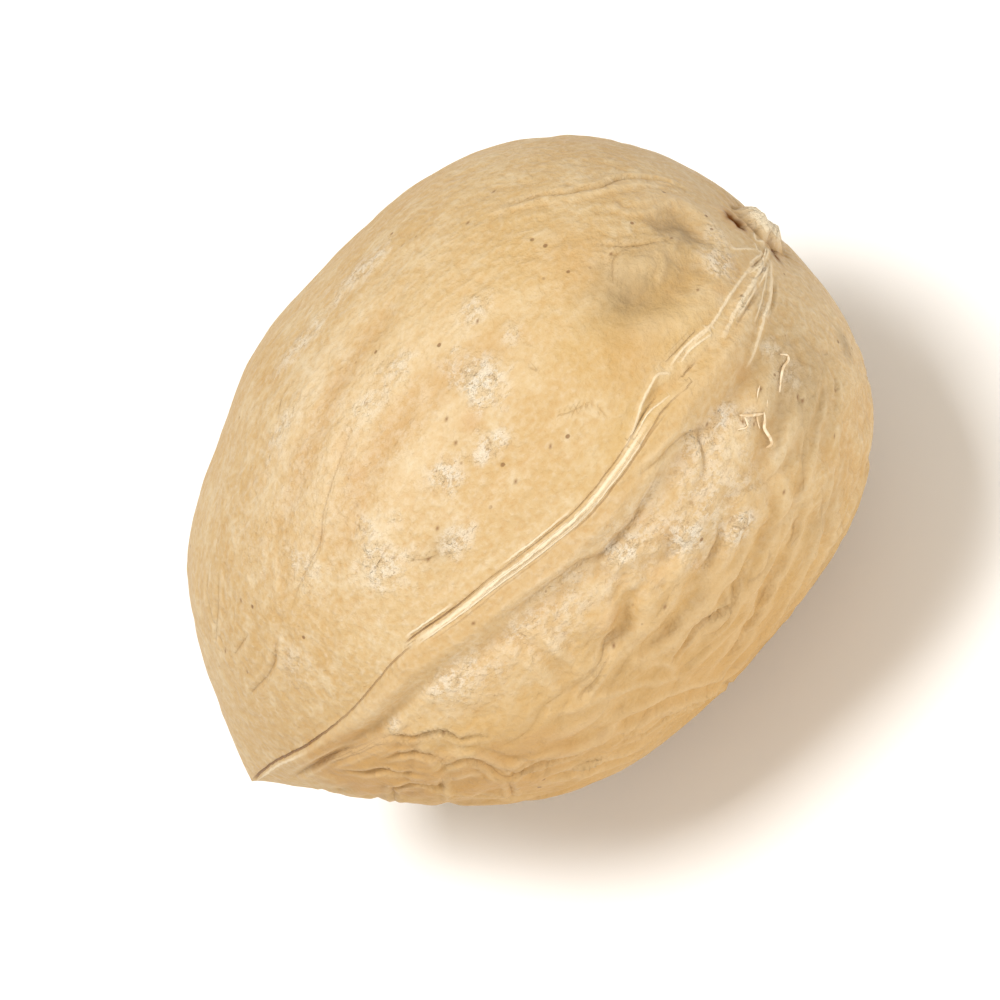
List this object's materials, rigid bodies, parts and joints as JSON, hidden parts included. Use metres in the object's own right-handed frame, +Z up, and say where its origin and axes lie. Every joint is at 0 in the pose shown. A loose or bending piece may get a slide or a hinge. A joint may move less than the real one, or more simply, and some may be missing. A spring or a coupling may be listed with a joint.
{
  "type": "walnut",
  "caption": "Whole dry walnut in its shell, lying on its side, with a pointed tip, a blunt stem end and a welted seam round it.",
  "frame": {"origin": "middle of the base, on the surface that the nut rests on", "axes": "+X along the nut from its pointed tip to its stem end, +Z up as it lies, -Y towards the side that its front seam faces"},
  "size_m": [0.0444, 0.0338, 0.0336],
  "materials": {
    "shell": "matte dry nutshell, pale tan with bleached and warmer patches"
  },
  "bodies": {
    "root": {"walnut": "shell"}
  },
  "joints": []
}
